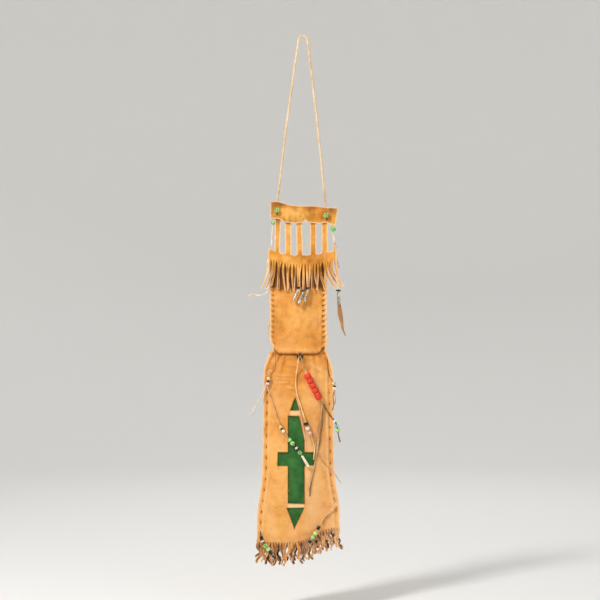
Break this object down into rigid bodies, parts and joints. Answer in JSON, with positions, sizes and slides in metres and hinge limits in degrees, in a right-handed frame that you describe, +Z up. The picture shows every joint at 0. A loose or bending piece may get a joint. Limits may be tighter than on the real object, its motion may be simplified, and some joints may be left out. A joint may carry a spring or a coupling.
{
  "type": "pipe bag",
  "caption": "Long flat hide bag with a slatted, fringed top, a pouch over a drawn-in neck and a wide lower bag with a cross inlay, hung by a thong and trimmed with beads.",
  "frame": {"origin": "the point under the top of the hanging thong's loop, where it bears on its peg", "axes": "+Z up, the front of the bag faces -Y, +X to the viewer's right"},
  "size_m": [0.1769, 0.0348, 0.9562],
  "materials": {
    "hide": "smoked buckskin, sueded",
    "pale_thong": "cut hide, pale",
    "dark_thong": "cut hide, darkened",
    "green_cloth": "felted wool",
    "green_bead": "glossy",
    "black_bead": "glossy",
    "white_bead": "glossy",
    "pink_bead": "glossy",
    "yellow_bead": "glossy",
    "red_bead": "satin",
    "gold_bead": "polished",
    "tin": "dull tin",
    "cream_cone": "bone-like"
  },
  "bodies": {
    "root": {"cuff": "hide", "slat_yoke": "hide", "front_hide": "hide", "back_hide": "hide", "pendant_leaf": "hide", "hanging_thong": "pale_thong", "left_side_thong": "pale_thong", "right_side_thong": "pale_thong", "centre_tie": "pale_thong", "red_bead_thong": "pale_thong", "left_tie": "pale_thong", "left_short_tie": "pale_thong", "right_tie": "pale_thong", "curled_thong": "pale_thong", "bottom_right_tie": "pale_thong", "dark_tail": "dark_thong", "bottom_left_tie": "dark_thong", "green_cloth": "green_cloth", "left_cuff_bead": "green_bead", "right_cuff_bead": "green_bead", "left_side_bead": "green_bead", "right_side_bead": "green_bead", "tail_blue_bead": "green_bead", "drop_green_bead_1": "green_bead", "drop_green_bead_2": "green_bead", "drop_green_bead_3": "green_bead", "bottom_left_green_bead": "green_bead", "bottom_left_pale_bead": "green_bead", "bottom_right_green_bead": "green_bead", "left_cone_bead": "black_bead", "middle_cone_bead": "black_bead", "right_cone_bead": "black_bead", "pendant_cone_bead": "black_bead", "neck_bead": "black_bead", "centre_black_bead": "black_bead", "drop_small_beads": "black_bead", "bottom_left_black_bead": "black_bead", "bottom_right_black_bead": "black_bead", "bottom_right_dark_bead": "black_bead", "centre_white_bead": "white_bead", "tail_white_bead": "white_bead", "drop_white_bead": "white_bead", "right_white_bead": "white_bead", "centre_pink_bead": "pink_bead", "left_pink_bead": "pink_bead", "tail_yellow_bead": "yellow_bead", "bottom_right_yellow_bead": "yellow_bead", "red_bead_1": "red_bead", "red_bead_2": "red_bead", "red_bead_3": "red_bead", "red_bead_4": "red_bead", "red_bead_5": "red_bead", "left_gold_bead": "gold_bead", "drop_gold_bead": "gold_bead", "right_gold_bead": "gold_bead", "left_cone": "tin", "middle_cone": "tin", "right_cone": "tin", "pendant_cone": "tin", "drop_cone": "cream_cone"}
  },
  "joints": []
}
